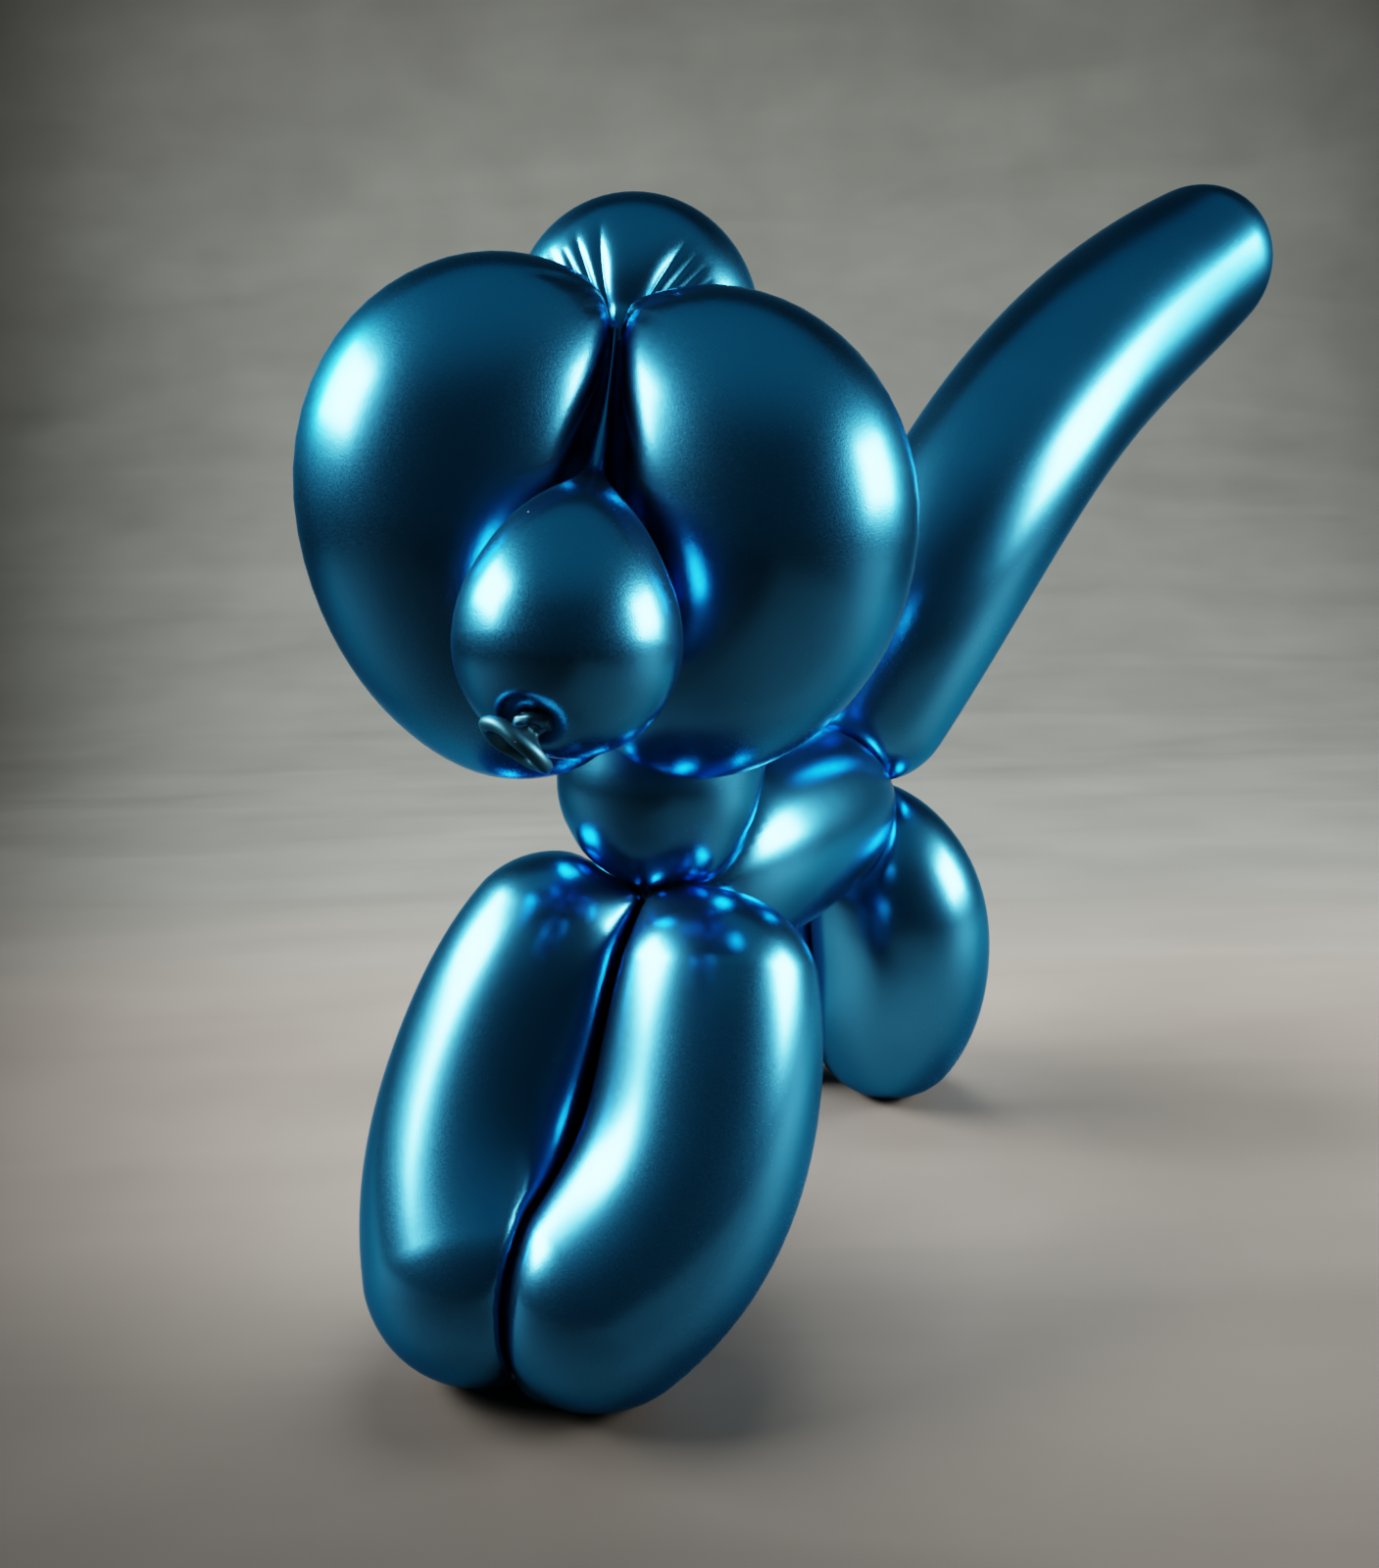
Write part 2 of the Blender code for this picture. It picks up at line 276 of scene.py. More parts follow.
def lineOfPair(bubble, name):
    first, second = ("to", "from") if name in returning else ("from", "to")
    start, end = np.array(twists[bubble[first]]), np.array(twists[bubble[second]])
    along = unit(end - start)
    sideways = np.array((1.0, 0.0, 0.0))
    sideways = unit(sideways - along * (sideways @ along))
    turn = math.radians(pairTurn[bubble["pair"]])
    sideways = sideways * math.cos(turn) + np.cross(along, sideways) * math.sin(turn)
    across = np.cross(along, sideways) * bubble["bow"]
    near, far = bubble["inset"]
    third = (np.linalg.norm(end - start) - near - far) / 3
    out = [sideways * bubble["side"] * spread for spread in bubble["spread"]]
    return np.array((
        start + out[0] + along * near,
        start + out[1] + along * (near + third) + across,
        end + out[2] - along * (far + third) + across,
        end + out[3] - along * far,
    ))


def tiePoint(bubble, key):
    # where a bubble's end is tied: its twist, or the knot at the mouth
    if key in bubble.get("aim", {}):
        return np.array(bubble["aim"][key])
    if key in bubble:
        return np.array(twists[bubble[key]])
    return np.array(mouth["knot"]) if key == "from" else None


def reachTwist(bubble, end, key):
    # extra spheres from a bubble's end to its twist, so that its skin is drawn out that far
    tip, radius = bubble["points"][end], bubble["thick"][end]
    toTwist = tiePoint(bubble, key) - tip if key in bubble else np.zeros(3)
    reach = np.linalg.norm(toTwist)
    if reach <= radius + skin["drawnPast"]:
        return np.empty((0, 3)), np.empty(0)
    blunt = min(bubble.get("blunt", {}).get(key, skin["blunt"]) * radius, reach)
    share = np.linspace(0, 1, skin["drawnSpheres"] + 1)[1:, None]
    thinner = share[:, 0] ** bubble.get("draw", {}).get(key, 1.0)
    return tip + toTwist / reach * (reach - blunt) * share, radius + (blunt - radius) * thinner


def prepareBubble(name):
    # a bubble is the skin round a row of spheres along a curve
    bubble = bubbles[name]
    line = lineOfPair(bubble, name) if "pair" in bubble else np.array(bubble["line"], float)
    ends = bubble.get("ends")
    if name in returning:
        line, ends = line[::-1], ends[::-1]
    steps = np.linspace(0, 1, skin["curveSteps"] + 1)[:, None]
    back = 1 - steps
    points = (
        line[0] * back**3 + line[1] * 3 * back**2 * steps
        + line[2] * 3 * back * steps**2 + line[3] * steps**3
    )
    far = np.concatenate(([0], np.cumsum(np.linalg.norm(np.diff(points, axis=0), axis=1))))
    if "thickness" in bubble:
        thick = smoothTable(np.array(bubble["thickness"], float), far)
    else:
        across = 2 * steps[:, 0] - 1
        loss = bubble["radius"] - np.where(across < 0, ends[0], ends[1])
        thick = bubble["radius"] - loss * np.abs(across) ** bubble["fullness"]
    bubble.update(far=far, points=points, thick=thick)
    bubble["slope"] = np.gradient(thick, far)
    bubble["forward"] = unit(np.gradient(points, far, axis=0))
    every = skin["sphereEvery"]
    before, beforeThick = reachTwist(bubble, 0, "from")
    after, afterThick = reachTwist(bubble, -1, "to")
    bubble["spheres"] = np.concatenate((before[::-1], points[::every], after))
    bubble["sizes"] = np.concatenate((beforeThick[::-1], thick[::every], afterThick))


def outside(points, bubble):
    # how far each point is outside a bubble's skin, negative inside, and the way out
    line, thick = bubble["spheres"], bubble["sizes"]
    found = np.empty(len(points))
    way = np.empty((len(points), 3))
    atOnce = 8192  # points, to spare memory
    for start in range(0, len(points), atOnce):
        part = points[start:start + atOnce]
        apart = np.sqrt(((part[:, None, :] - line[None]) ** 2).sum(2)) - thick
        nearest = np.clip(apart.argmin(1), 1, len(line) - 2)
        row = np.arange(len(part))
        before, here, after = apart[row, nearest - 1], apart[row, nearest], apart[row, nearest + 1]
        bend = np.maximum(before - 2 * here + after, 1e-9)
        shift = np.clip((before - after) / (2 * bend), -1, 1)
        found[start:start + atOnce] = here + (after - before) / 2 * shift + bend / 2 * shift**2
        way[start:start + atOnce] = unit(part - line[nearest])
    return found, way


def softMax(a, b, width):
    # the larger of two, rounded off where they are nearly equal
    overlap = np.maximum(width - np.abs(a - b), 0) / width
    return np.maximum(a, b) + overlap**3 * width / 6


def ringWays(edge, sides):
    # the ways out from a ring's centre, leaning with the slope of the skin
    angle = 2 * np.pi * np.arange(sides) / sides
    sideways, forward, lean = edge["sideways"], edge["forward"], edge["lean"]
    radial = np.outer(np.cos(angle), sideways) + np.outer(np.sin(angle), np.cross(forward, sideways))
    return radial * math.cos(lean) - forward * math.sin(lean)


def capRings(name, edge, key):
    # rings from the bubble's gathered end to its first or last full ring
    bubble = bubbles[name]
    centre, radius = edge["centre"], edge["radius"]
    target = tiePoint(bubble, key)
    if target is None:
        pole, reach, nearest = edge["forward"], radius, skin["untied"]
    else:
        toTwist = target - centre
        reach = np.linalg.norm(toTwist)
        pole = toTwist / reach
        nearest = skin["wrung"] / reach
    dimpled = (name, key) == ("nose", "from")
    if dimpled:
        reach = 0.0
    fine = fineness.get((name, key), 1)
    meanArc = np.arccos(np.clip(ringWays(edge, skin["sides"]) @ pole, -1, 1)).mean()
    count = max(6, int(math.ceil(meanArc * radius / skin["capSpacing"][fine])))
    rings = []
    for i in range(count):
        q = i / count
        sides = skin["sides"]
        for times, until in skin["capDoubling"].items():
            if fine >= times and q <= until:
                sides *= 2
        start = ringWays(edge, sides)
        arc = np.arccos(np.clip(start @ pole, -1, 1))
        even = max(skin["capEven"] * arc.min(), 1e-3)
        around = nearest + even * q + (arc - nearest - even) * q ** skin["capCrowding"]
        share = ((arc - around) / arc)[:, None]
        across = np.sin(arc)[:, None]
        way = unit(start * np.sin((1 - share) * arc[:, None]) / across
                   + np.sin(share * arc[:, None]) / across * pole)
        length = np.full(sides, radius)
        if dimpled:
            hollow = around * radius / mouth["hollow"]
            length = length - mouth["deep"] * np.exp(-hollow**2)
        rings.append({"centre": centre, "way": way, "distance": length, "reach": reach})
    return rings, pole


def ringsOf(name, sideways):
    # rings over a bubble from end to end, and where its reference side ends up
    bubble = bubbles[name]
    far, thick = bubble["far"], bubble["thick"]
    slope = np.clip(bubble["slope"], -skin["steepest"], skin["steepest"])
    reached = np.maximum.accumulate(far - thick * slope)
    out = thick * np.sqrt(1 - slope**2)
    length = np.concatenate(([0], np.cumsum(np.hypot(np.diff(reached), np.diff(out)))))
    count = max(8, int(math.ceil(length[-1] / skin["spacing"])))
    edges = []
    for wanted in np.interp(np.linspace(0, length[-1], count + 1), length, far):
        forward = unit([np.interp(wanted, far, bubble["forward"][:, k]) for k in range(3)])
        sideways = unit(sideways - forward * (sideways @ forward))
        edges.append({
            "centre": np.array([np.interp(wanted, far, bubble["points"][:, k]) for k in range(3)]),
            "radius": np.interp(wanted, far, bubble["thick"]),
            "forward": forward, "sideways": sideways, "lean": math.asin(np.interp(wanted, far, slope)),
        })
    rings = [{
        "centre": edge["centre"], "way": ringWays(edge, skin["sides"]),
        "distance": np.full(skin["sides"], edge["radius"]), "reach": 0.0,
    } for edge in edges]
    first, startPole = capRings(name, edges[0], "from")
    last, endPole = capRings(name, edges[-1], "to")
    bubble["poles"] = {"from": startPole, "to": endPole}
    return first + rings + last[::-1], sideways


def ownSkin(bubble, centres, ways, distance, reach):
    # how long each spoke is where the bubble's end is drawn out to its twist
    drawn = np.flatnonzero(reach > distance + skin["drawnPast"])
    length = reach[drawn].copy()
    for _ in range(skin["drawnRounds"]):
        apart, out = outside(centres[drawn] + ways[drawn] * length[:, None], bubble)
        square = np.clip((out * ways[drawn]).sum(1), 0.3, 1)  # how squarely a spoke meets the skin
        length -= apart / square
    result = distance.copy()
    result[drawn] = np.maximum(length, distance[drawn])
    return result


def swelling(away):
    # how a squeezed bubble bulges beside a meeting: 0 at the meeting and 1 where it bulges most
    share = np.maximum(away, 0) / skin["swellWidth"]
    return share * np.exp(1 - share)


def pressTogether(name, centres, ways, distance):
    # shortens each spoke until its end clears the neighbouring bubbles and the floor
    own = bubbles[name]
    points = centres + ways * distance[:, None]
    low, high = points.min(0), points.max(0)
    meets = []
    for other, bubble in bubbles.items():
        press, yields, gap, swell = meetings.get((name, other), usualMeeting)
        otherSwell = meetings.get((other, name), usualMeeting)[3]
        within = max(2 * press, 6 * skin["swellWidth"] if swell else 0)  # past that nothing changes
        reach = bubble["thick"].max() + within
        below = (bubble["spheres"].max(0) + reach < low).any()
        above = (bubble["spheres"].min(0) - reach > high).any()
        if other == name or below or above:
            continue
        near = outside(points, bubble)[0] < within
        if near.any():
            meets.append((bubble, near, press, yields, gap, swell, otherSwell))
    active = points[:, 2] < 2 * skin["footPress"]
    for _, near, *_ in meets:
        active |= near
    index = np.flatnonzero(active)
    length = distance[index].copy()
    base = outside(points[index], own)[0]
    for _ in range(skin["settleRounds"]):
        spot = centres[index] + ways[index] * length[:, None]
        natural = outside(spot, own)[0] - base
        inside = natural.copy()
        apart = []
        for bubble, near, press, yields, gap, swell, otherSwell in meets:
            some = near[index]
            away = outside(spot[some], bubble)[0]
            inside[some] -= swell * swelling(away)
            apart.append(away - otherSwell * swelling(natural[some]))
        excess = inside.copy()
        for (bubble, near, press, yields, gap, *_), away in zip(meets, apart):
            some = near[index]
            squeeze = inside[some] * (1 - yields) - away * yields + gap
            excess[some] = softMax(excess[some], squeeze, press)
        excess = softMax(excess, -spot[:, 2], skin["footPress"])
        length = np.maximum(length - excess * skin["settleStep"], skin["shortest"])
    result = distance.copy()
    result[index] = length
    return result


def pleat(name, key, points):
    # draws the skin in along creases that run out from a twist
    bubble = bubbles[name]
    centre = tiePoint(bubble, key)
    pole = bubble["poles"][key]
    up = np.array((0.0, 0.0, 1.0))
    up = unit(up - pole * (up @ pole))
    left = np.cross(pole, up)
    offset = points - centre
    away = np.linalg.norm(offset, axis=1)
    out = np.linalg.norm(offset - np.outer(offset @ pole, pole), axis=1)
    turn = np.degrees(np.arctan2(offset @ left, offset @ up))
    creases = list(crownPleats.get(name, ()))
    others = otherPleats[bubble.get("pair", name)]
    uneven, veer = pleats["uneven"], pleats["veer"]
    for number in range(others["count"]):
        at = 360 * (number + scatter.uniform(-uneven, uneven)) / others["count"]
        last = scatter.uniform(*others["reach"])
        width = scatter.uniform(*others["width"])
        steep = scatter.uniform(*others["steep"])
        taken = name == "neck" and abs((at + 180) % 360 - 180) < pleats["crownHalf"]
        if not taken:
            creases.append((at, at + scatter.uniform(-veer, veer), pleats["start"], last, width, steep))
    drawn = np.zeros(len(points))
    for near, far, first, last, width, steep in creases:
        at = near + (far - near) * np.clip((away - first) / (last - first), 0, 1)
        across = np.abs((turn - at + 180) % 360 - 180) / width
        fade = smoothStep(away, first * pleats["fadeIn"][0], first * pleats["fadeIn"][1])
        fade = fade * (1 - smoothStep(away, first + (last - first) * pleats["fadeOut"], last))
        drawn += steep * math.radians(width) * out * np.exp(-across) * fade
    return points - outside(points, bubble)[1] * drawn[:, None]


# The tied mouth of the balloon, which hangs from the tip of the nose.
mouth = {
    "knot": (9.1, -162.6, 134.5),
    "axis": (-0.36, -0.59, -0.72),
    "hollow": 4.0,  # the dimple that the knot sits in, across and deep
    "deep": 2.3,
    "wave": 0.035,  # how uneven the rolled lip is across
    "droop": 0.25,  # and along, in mm
    "lobes": 0.10,  # how lumpy the knotted part is
    "lip": (2.4, 2.0),  # from what half width the knot turns into the lip, and over how much more
    # (out from the knot, half width), from inside the lip, over its rolled rim and up to the knot
    "outline": (
        (1.9, 0.2), (2.0, 0.8), (2.3, 1.5), (2.8, 2.2), (3.3, 2.9), (3.6, 3.3), (4.1, 3.5),
        (4.7, 3.75), (5.15, 4.3), (5.2, 4.9), (4.95, 5.45), (4.4, 5.8), (3.75, 5.75), (3.2, 5.35),
        (2.95, 4.8), (2.95, 4.3), (2.85, 3.7), (2.5, 3.0), (2.1, 2.3), (1.6, 1.8), (1.15, 1.65),
        (0.7, 1.9), (0.1, 2.1), (-0.5, 2.0), (-1.0, 1.7), (-1.5, 1.4),
    ),
    "wrap": (1.8, 0.95),  # the turn of latex round the knot: its radius and half its thickness
    "wrapSides": (64, 24),  # round the knot and round the latex
    "wrapUneven": (0.16, 0.06),  # twice and seven times round the knot
    "wrapCrease": 0.05,
    "wrapLean": (0.55, 0.1, -0.2),  # how it leans away from the mouth's axis
    "wrapUp": 0.3,  # from the knot towards the lip
}


def mouthRings(firstRing, sides):
    # rings of the lip, in the nose's own order and starting side
    axis = unit(mouth["axis"])
    middle = firstRing.mean(0)
    side = firstRing[0] - middle
    side = unit(side - axis * (side @ axis))
    other = np.cross(-axis, side)
    angle = 2 * np.pi * np.arange(sides) / sides
    outline = np.array(mouth["outline"])
    outline = np.concatenate([
        outline[i] * (1 - t) + outline[i + 1] * t for i in range(len(outline) - 1) for t in (0.0, 0.5)
    ] + [outline[-1]]).reshape(-1, 2)
    smooth = outline.copy()
    smooth[1:-1] = (outline[:-2] + 2 * outline[1:-1] + outline[2:]) / 4
    lipFrom, lipOver = mouth["lip"]
    rings = []
    for along, radius in smooth:
        lip = min(max((radius - lipFrom) / lipOver, 0), 1)
        knotted = 1 - lip
        wave = 1 + mouth["wave"] * lip * (np.sin(2 * angle + 0.6) + 0.5 * np.sin(3 * angle + 2.0))
        lobes = 1 + mouth["lobes"] * knotted * np.sin(5 * angle + 0.7) * (radius > 1.5)
        drop = mouth["droop"] * lip * (np.sin(2 * angle + 1.9) + 0.32 * np.sin(5 * angle))
        reach = (radius * wave * lobes)[:, None]
        ring = np.array(mouth["knot"]) + np.outer(along + drop, axis)
        rings.append(ring + reach * (np.outer(np.cos(angle), side) + np.outer(np.sin(angle), other)))
    return rings


def knotWrap():
    # the turn of latex that ties the mouth shut
    axis = unit(np.array(mouth["axis"]) + np.array(mouth["wrapLean"]))
    side = unit(np.cross(axis, (0.0, 0.0, 1.0)))
    other = np.cross(axis, side)
    radius, half = mouth["wrap"]
    around, across = mouth["wrapSides"]
    twice, seven = mouth["wrapUneven"]
    points = []
    for i in range(around):
        a = 2 * math.pi * i / around
        out = side * math.cos(a) + other * math.sin(a)
        thick = half * (1 + twice * math.sin(2 * a + 1) + seven * math.sin(7 * a))
        for j in range(across):
            b = 2 * math.pi * j / across
            creased = thick * (1 + mouth["wrapCrease"] * math.sin(6 * b + 3 * a))
            points.append(out * (radius + creased * math.cos(b)) + axis * creased * math.sin(b))
    grid = np.arange(around * across).reshape(around, across)
    right, up = np.roll(grid, -1, 0), np.roll(grid, -1, 1)
    quads = np.stack([grid, right, np.roll(right, -1, 1), up], 2).reshape(-1, 4)
    return np.array(mouth["knot"]) + unit(mouth["axis"]) * mouth["wrapUp"] + np.array(points), quads


def joinRings(first, second):
    # faces between two rings of vertex numbers, where one may have several times the sides
    if len(first) == len(second):
        return np.stack([first, np.roll(first, -1), np.roll(second, -1), second], 1).tolist()
    few, many = (first, second) if len(first) < len(second) else (second, first)
    times = len(many) // len(few)
    faces = []
    for i in range(len(few)):
        a, b = few[i], few[(i + 1) % len(few)]
        fan = [many[(i * times + k) % len(many)] for k in range(times + 1)]
        half = times // 2
        strips = [(a, fan[k + 1], fan[k]) for k in range(half)] + [(a, b, fan[half])]
        strips += [(b, fan[k + 1], fan[k]) for k in range(half, times)]
        faces += [s if few is first else s[::-1] for s in strips]
    return [[int(v) for v in face] for face in faces]


def shapeBubble(name, sideways):
    # the rings of one bubble's skin with how slack each point is, and where its reference side ends up
    bubble = bubbles[name]
    rings, sideways = ringsOf(name, sideways)
    centres = np.concatenate([np.repeat(r["centre"][None], len(r["way"]), 0) for r in rings])
    ways = np.concatenate([r["way"] for r in rings])
    distance = np.concatenate([r["distance"] for r in rings])
    reach = np.concatenate([np.full(len(r["way"]), r["reach"]) for r in rings])
    distance = ownSkin(bubble, centres, ways, distance, reach)
    points = centres + ways * pressTogether(name, centres, ways, distance)[:, None]
    tied = np.full(len(points), np.inf)
    for key in ("from", "to"):
        tie = tiePoint(bubble, key)
        if tie is None:
            continue
        near = np.linalg.norm(points - tie, axis=1)
        tied = np.minimum(tied, near)
        close = near < skin["pleatReach"]
        if (name, key) in fineness and name != "nose":
            points[close] = pleat(name, key, points[close])
    slack = np.exp(-(tied / skin["slackReach"]) ** 2)
    splits = np.cumsum([len(r["way"]) for r in rings])[:-1]
    shaped = list(zip(np.split(points, splits), np.split(slack, splits)))
    if name == "nose":
        lip = mouthRings(shaped[0][0], skin["sides"])
        shaped = [(ring, np.ones(len(ring))) for ring in lip] + shaped
    print("shaped", name)
    return shaped, sideways


def buildSkin():
    # one skin over all the bubbles, from the lip at the nose to the end of the tail
    for name in bubbles:
        prepareBubble(name)
    rings, sideways = [], np.array((1.0, 0.0, 0.0))
    for name in bubbles:
        shaped, sideways = shapeBubble(name, sideways)
        rings += shaped
    starts = np.cumsum([0] + [len(points) for points, _ in rings])
    numbers = [np.arange(first, last) for first, last in zip(starts[:-1], starts[1:])]
    faces = [numbers[0][::-1].tolist()]
    for first, second in zip(numbers[:-1], numbers[1:]):
        faces += joinRings(first, second)
    faces.append(numbers[-1].tolist())
    wrap, quads = knotWrap()
    faces += (quads + starts[-1]).tolist()
    vertices = np.concatenate([points for points, _ in rings] + [wrap])
    slack = np.concatenate([loose for _, loose in rings] + [np.ones(len(wrap))])
    mesh = bpy.data.meshes.new("balloonDog")
    mesh.from_pydata((vertices * mm).tolist(), [], faces)
    mesh.attributes.new("slack", "FLOAT", "POINT").data.foreach_set("value", slack.astype(np.float32))
    mesh.shade_smooth()
    dog = bpy.data.objects.new("balloonDog", mesh)
    bpy.context.scene.collection.objects.link(dog)
    return dog


dog = buildSkin()
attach(dog, "root")
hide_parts("balloon_dog")
dog.data.calc_loop_triangles()
print("skin made:", len(dog.data.loop_triangles), "triangles")


class Shading:
    # the nodes of one material or world
    def __init__(self, owner):
        owner.use_nodes = True
        self.tree = owner.node_tree

    def node(self, kind, settings, values, output=0):
        made = self.tree.nodes.new(kind)
        for name, value in settings.items():
            setattr(made, name, value)
        for name, value in values.items():
            if isinstance(value, Flow):
                self.tree.links.new(value.socket, made.inputs[name])
            else:
                made.inputs[name].default_value = value
        return Flow(self, made.outputs[output])

    def feed(self, node, name, flow):
        self.tree.links.new(flow.socket, self.tree.nodes[node].inputs[name])

    def set(self, node, values):
        for name, value in values.items():
            self.tree.nodes[node].inputs[name].default_value = value

    def blend(self, share, first, second):
        return self.node("ShaderNodeMix", {"data_type": "RGBA"}, {0: share, 6: first, 7: second}, 2)

    def tint(self, colour, shade):
        # a colour made darker or brighter
        values = {0: 1.0, 6: colour, 7: shade}
        return self.node("ShaderNodeMix", {"data_type": "RGBA", "blend_type": "MULTIPLY"}, values, 2)

    def noise(self, place, scale, detail, distortion=0.0):
        values = {"Vector": place, "Scale": scale, "Detail": detail, "Distortion": distortion}
        return self.node("ShaderNodeTexNoise", {}, values)

    def dot(self, first, second):
        return self.node("ShaderNodeVectorMath", {"operation": "DOT_PRODUCT"}, {0: first, 1: second}, 1)

    def atLeast(self, value, least):
        return self.node("ShaderNodeMath", {"operation": "MAXIMUM"}, {0: value, 1: least})

    def size(self, value):
        return self.node("ShaderNodeMath", {"operation": "ABSOLUTE"}, {0: value})

    def ramp(self, value, low, high, first, last):
        # a smooth step from one value to another
        settings = {"interpolation_type": "SMOOTHSTEP"}
        values = {"Value": value, "From Min": low, "From Max": high, "To Min": first, "To Max": last}
        return self.node("ShaderNodeMapRange", settings, values)


class Flow:
    # a shader socket that sums can be written with
    def __init__(self, shading, socket):
        self.shading, self.socket = shading, socket

    def maths(self, operation, first, second):
        return self.shading.node("ShaderNodeMath", {"operation": operation}, {0: first, 1: second})

    def __add__(self, other):
        return self.maths("ADD", self, other)

    def __sub__(self, other):
        return self.maths("SUBTRACT", self, other)

    def __rsub__(self, other):
        return self.maths("SUBTRACT", other, self)

    def __mul__(self, other):
        return self.maths("MULTIPLY", self, other)

    def __truediv__(self, other):
        return self.maths("DIVIDE", self, other)

    def __pow__(self, other):
        return self.maths("POWER", self, other)

    def __rpow__(self, other):
        return self.maths("POWER", other, self)

    __radd__ = __add__
    __rmul__ = __mul__


latex = {
    "colour": (0.044, 0.27, 0.50),
    "edge": (0.14, 0.50, 0.75),  # how much of a bare metal's pale rim is left
    "slackColour": (0.04, 0.135, 0.195),  # where it isn't stretched, at the twists and the lip
    "roughness": 0.245,
    "slackRoughness": 0.45,
    "coat": 0.10,
    "slackCoat": 0.3,  # of the coat is left where it isn't stretched
    "coatRoughness": 0.16,
    "clouds": (28.0, 3.0),  # the pearl's slow changes: scale and detail
    "cloudShade": 0.14,  # how much they change its brightness
    "cloudRoughness": 0.06,
    "grain": (3200.0, 1.0),  # and its fine grain
    "grainRoughness": 0.10,
    "grainBump": (0.055, 0.0002),  # strength, and height in m
    "dust": 190.0,  # cells to the metre that may hold a speck of dust
    "dustBare": (0.985, 0.990),  # the share of them that don't
    "dustSize": (0.012, 0.03),  # of a cell, inside and outside a speck's soft edge
    "dustColour": (0.35, 0.38, 0.40),
    "dustCover": 0.8,
}


def makeLatex():
    made = bpy.data.materials.new("blueLatex")
    shading = Shading(made)
    place = shading.node("ShaderNodeTexCoord", {}, {}, "Object")
    slack = shading.node("ShaderNodeAttribute", {"attribute_name": "slack"}, {}, "Fac")
    clouds = shading.noise(place, *latex["clouds"])
    grain = shading.noise(place, *latex["grain"])
    cells = {"Vector": place, "Scale": latex["dust"]}
    dust = shading.node("ShaderNodeTexVoronoi", {}, cells, "Distance")
    cell = shading.node("ShaderNodeTexVoronoi", {}, cells, "Color")
    chosen = shading.ramp(shading.dot(cell, (1.0, 0.0, 0.0)), *latex["dustBare"], 0.0, 1.0)
    speck = shading.ramp(dust, *latex["dustSize"], 1.0, 0.0) * chosen
    shade = 1 - latex["cloudShade"] / 2 + clouds * latex["cloudShade"]
    tone = shading.tint((*latex["colour"], 1), shade)
    tone = shading.blend(slack, tone, (*latex["slackColour"], 1))
    tone = shading.blend(speck * latex["dustCover"], tone, (*latex["dustColour"], 1))
    rough = latex["roughness"] + (clouds - 0.5) * latex["cloudRoughness"]
    rough = rough + (grain - 0.5) * latex["grainRoughness"]
    rough = rough + slack * (latex["slackRoughness"] - latex["roughness"])
    strength, tall = latex["grainBump"]
    bump = shading.node("ShaderNodeBump", {}, {"Strength": strength, "Distance": tall, "Height": grain})
    shading.feed("Principled BSDF", "Base Color", tone)
    shading.feed("Principled BSDF", "Roughness", rough)
    shading.feed("Principled BSDF", "Metallic", 1 - speck)
    shading.feed("Principled BSDF", "Coat Weight", latex["coat"] * (1 - slack * (1 - latex["slackCoat"])))
    shading.feed("Principled BSDF", "Normal", bump)
    shading.set("Principled BSDF", {
        "Coat Roughness": latex["coatRoughness"], "Specular Tint": (*latex["edge"], 1)})
    return made


dog.data.materials.append(makeLatex())
print("latex made")


room = {
    "floor": (0.115, 0.107, 0.096),
    "backdrop": (0.079, 0.084, 0.078),
    "backFrom": (0.06, 0.30),  # where the floor turns into the backdrop's colour, m behind the dog
    "backUneven": 0.1,  # how unevenly, in m
    "paintedNearShade": (0.33, -0.18, 0.0),  # painted shade: how bright the floor is painted out in front, and from where to where
    "paintedTopShade": (0.50, 0.40, 0.85),  # painted shade: how bright the backdrop is painted at its top, by its height
    "bright": (0.108, -0.066),  # the middle of a pool of light painted on the paper as a brighter strip, m to the right, and its slope
    "paintedPoolHalf": (0.323, 0.35, 0.05),  # its half width beside the dog, how it widens, its least
    "paintedPoolEdge": 5.0,  # how soon the painted shade darkens the paper outside the painted pool of light
    "paintedSideShade": 0.22,  # and how bright the painted shade leaves the paper there
    "creases": 0.24,  # how strongly the paper is mottled and creased
    "streakClose": (1.6, 7.0, 5.0),  # how closely its streaks lie across, along and up
    "streaks": (2.6, 4.0, 0.6),  # their scale, detail and distortion
    "streakShare": 2.2,
    "mottle": (14.0, 5.0),
    "mottleShare": 1.4,
    "roughness": 0.7,
    "shine": 0.2,
    "windows": (  # azimuth from -Y towards +X, elevation, distance m, width m, height m, watts
        (-62, 31, 1.1, 0.66, 0.38, 44),
        (114, 17, 1.1, 0.52, 0.39, 34),
    ),
    "windowColour": (1.0, 0.94, 0.90),
    "sky": (0.26, 0.94, 1.0),  # the tint of the dark room
    "above": 0.20,  # its strength overhead, and round the walls up to the height of aboveFrom
    "around": 0.045,
    "aboveFrom": 0.45,
    "fill": (0.80, 0.25, 0.4, 17.0),  # a light the latex doesn't mirror: height, m behind, size, watts
    "heading": 27,  # degrees: the way across the room
    "paper": (2.4, -1.7, 2.2),  # m: its half width, where it starts in front and how high it ends
    "paperCells": (8, 14, 24),  # across, along the floor and round the curve
    "sweepFrom": 0.55,  # where the backdrop starts to curve up, and how widely, in m
    "sweep": 0.60,
}


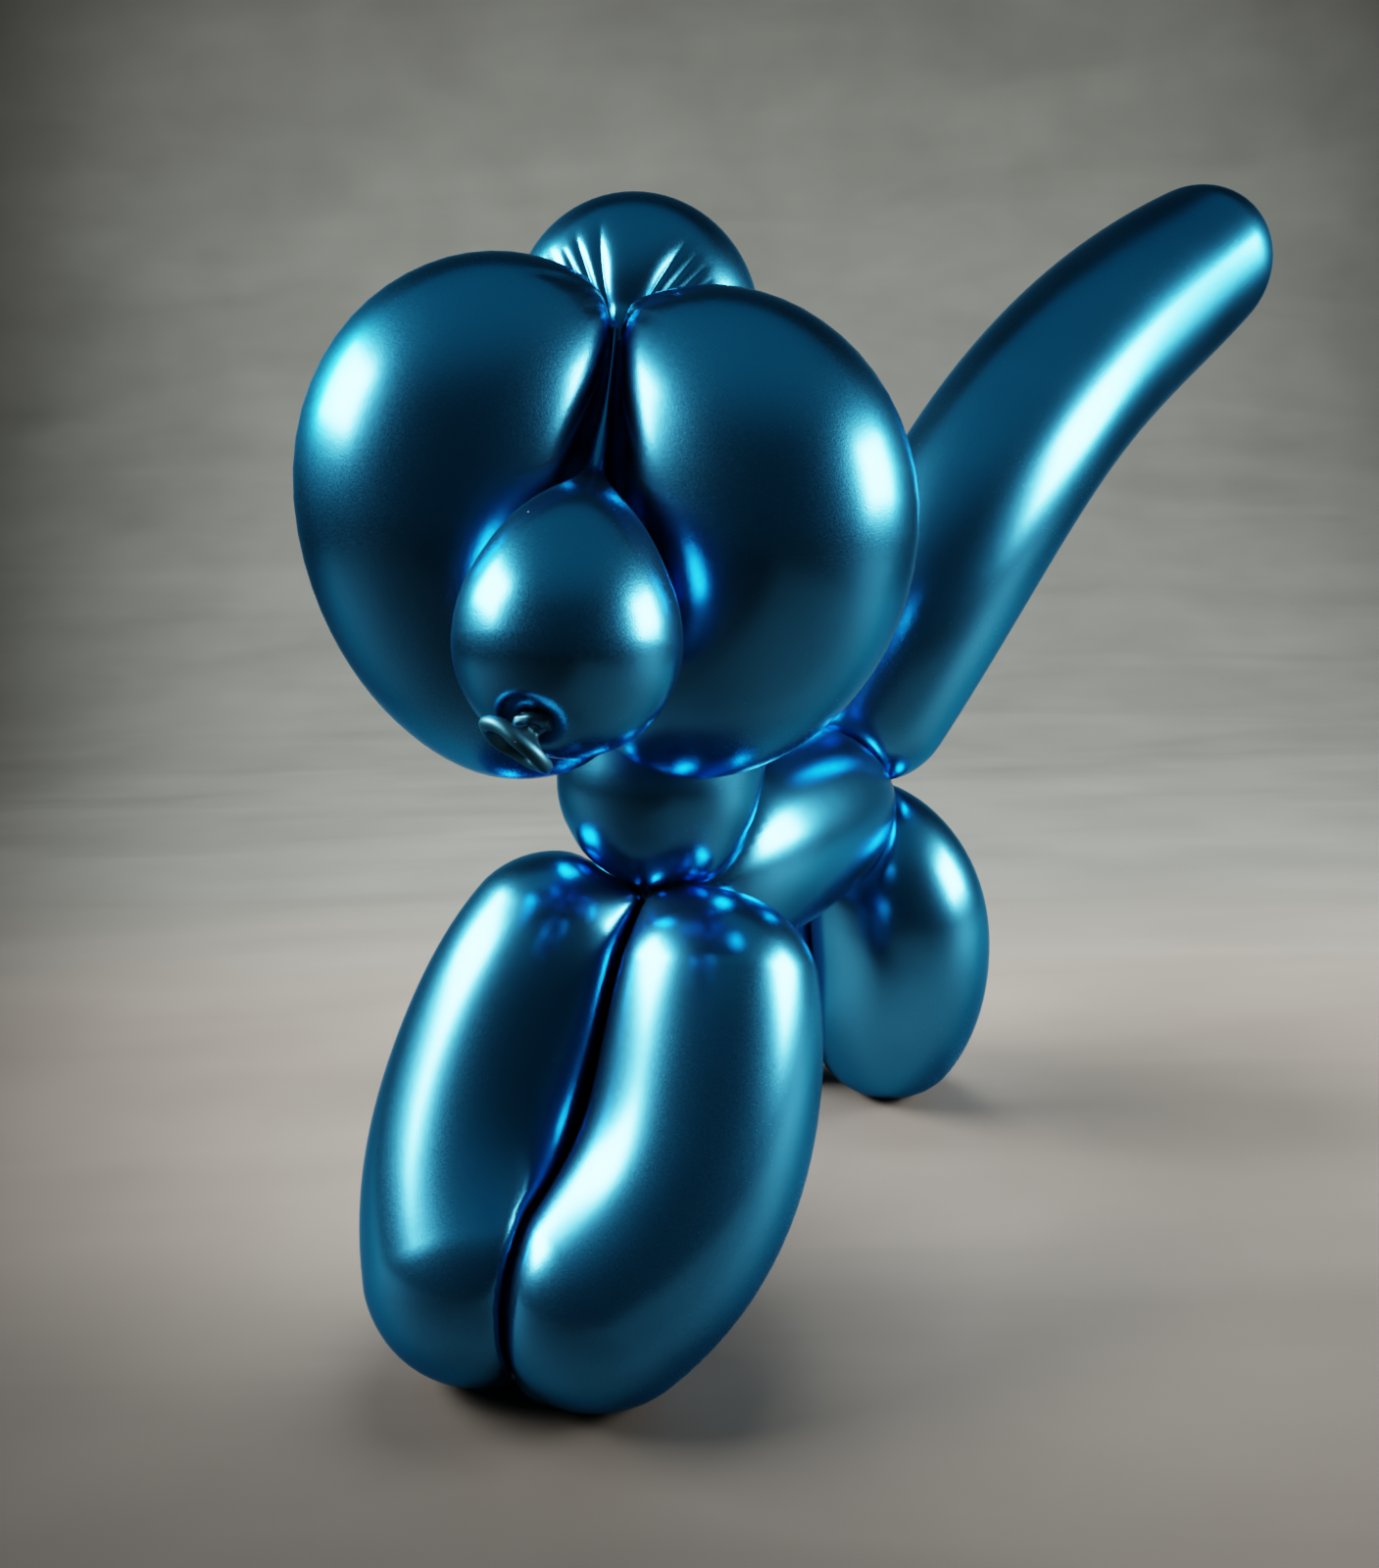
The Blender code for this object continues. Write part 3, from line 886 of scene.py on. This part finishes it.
def makePaper(ahead, right):
    # the pale paper that is both the floor and the backdrop, with painted shade and a painted pool of light
    # in its colour
    made = bpy.data.materials.new("palePaper")
    shading = Shading(made)
    place = shading.node("ShaderNodeTexCoord", {}, {}, "Object")
    along = shading.dot(place, tuple(ahead))
    across = shading.dot(place, tuple(right))
    height = shading.dot(place, (0.0, 0.0, 1.0))
    closeAcross, closeAlong, closeUp = room["streakClose"]
    level = shading.node("ShaderNodeCombineXYZ", {}, {
        "X": across * closeAcross, "Y": along * closeAlong, "Z": height * closeUp})
    streaks = shading.noise(level, *room["streaks"])
    mottle = shading.noise(place, *room["mottle"])
    far = shading.ramp(along + (mottle - 0.5) * room["backUneven"], *room["backFrom"], 0.0, 1.0)
    # painted shade: the floor is painted darker out in front of the dog
    paintedNearShade, nearest, nearFrom = room["paintedNearShade"]
    shade = shading.ramp(along, nearest, nearFrom, paintedNearShade, 1.0)
    # painted shade: the backdrop is painted darker towards its top
    paintedTopShade, topFrom, topTo = room["paintedTopShade"]
    shade = shade * shading.ramp(height, topFrom, topTo, 1.0, paintedTopShade)
    # a painted pool of light: the paper is painted brighter along a strip and darker beside it
    middle, slope = room["bright"]
    half, widening, least = room["paintedPoolHalf"]
    aside = shading.size((across - middle - along * slope) / shading.atLeast(half + along * widening, least))
    shade = shade * shading.atLeast(math.e ** (0 - aside ** room["paintedPoolEdge"]), room["paintedSideShade"])
    creases = (streaks - 0.5) * room["streakShare"] + (mottle - 0.5) * room["mottleShare"]
    shade = shade * (1 + room["creases"] * creases)
    colour = shading.blend(far, (*room["floor"], 1), (*room["backdrop"], 1))
    # the paper's colour times its painted shade, its painted pool of light and its mottle
    shading.feed("Principled BSDF", "Base Color", shading.tint(colour, shade))
    shading.set("Principled BSDF", {"Roughness": room["roughness"], "Specular IOR Level": room["shine"]})
    return made


def makeSheet(name, rows, material):
    # a mesh sheet through rows of points
    points = [p for row in rows for p in row]
    wide = len(rows[0])
    quads = [
        (r * wide + c, r * wide + c + 1, (r + 1) * wide + c + 1, (r + 1) * wide + c)
        for r in range(len(rows) - 1) for c in range(wide - 1)
    ]
    mesh = bpy.data.meshes.new(name)
    mesh.from_pydata(points, [], quads)
    mesh.shade_smooth()
    mesh.materials.append(material)
    sheet = bpy.data.objects.new(name, mesh)
    bpy.context.scene.collection.objects.link(sheet)
    sheet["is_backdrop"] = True


def makeLight(name, place, wide, tall, watts):
    data = bpy.data.lights.new(name, "AREA")
    data.shape = "RECTANGLE"
    data.size, data.size_y, data.energy = wide, tall, watts
    light = bpy.data.objects.new(name, data)
    light.location = place
    bpy.context.scene.collection.objects.link(light)
    return light


def makeWorld():
    world = bpy.data.worlds.new("room")
    bpy.context.scene.world = world
    shading = Shading(world)
    way = shading.node("ShaderNodeTexCoord", {}, {}, "Generated")
    high = shading.dot(way, (0.0, 0.0, 1.0))
    light = shading.ramp(high, room["aboveFrom"], 1.0, room["around"], room["above"])
    shading.set("Background", {"Color": (*room["sky"], 1)})
    shading.feed("Background", "Strength", light)


def makeRoom():
    turn = math.radians(room["heading"])
    ahead = Vector((-math.sin(turn), math.cos(turn), 0))
    right = Vector((ahead.y, -ahead.x, 0))
    half, front, top = room["paper"]
    cellsAcross, cellsAlong, cellsRound = room["paperCells"]
    across = np.linspace(-half, half, cellsAcross + 1)
    rows = [(back, 0.0) for back in np.linspace(front, room["sweepFrom"], cellsAlong + 1)]
    for angle in np.linspace(0, math.pi / 2, cellsRound + 1)[1:]:
        back = room["sweepFrom"] + room["sweep"] * math.sin(angle)
        rows.append((back, room["sweep"] * (1 - math.cos(angle))))
    rows.append((rows[-1][0], top))
    points = [[tuple(right * s + ahead * back + Vector((0, 0, up))) for s in across] for back, up in rows]
    makeSheet("paper", points, makePaper(ahead, right))
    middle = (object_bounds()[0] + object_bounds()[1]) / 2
    for number, (around, above, away, wide, tall, watts) in enumerate(room["windows"]):
        a, e = math.radians(around), math.radians(above)
        outward = Vector((math.sin(a) * math.cos(e), -math.cos(a) * math.cos(e), math.sin(e)))
        window = makeLight(f"window{number}", middle + outward * away, wide, tall, watts)
        window.data.color = room["windowColour"]
        window.rotation_euler = outward.to_track_quat("Z", "Y").to_euler()
    up, behind, size, watts = room["fill"]
    fill = makeLight("fill", Vector((middle.x, middle.y, up)) + ahead * behind, size, size, watts)
    fill.visible_glossy = False
    makeWorld()
    print("room made")


makeRoom()
bpy.context.scene.view_settings.view_transform = "Filmic"
bpy.context.scene.view_settings.look = "Medium High Contrast"
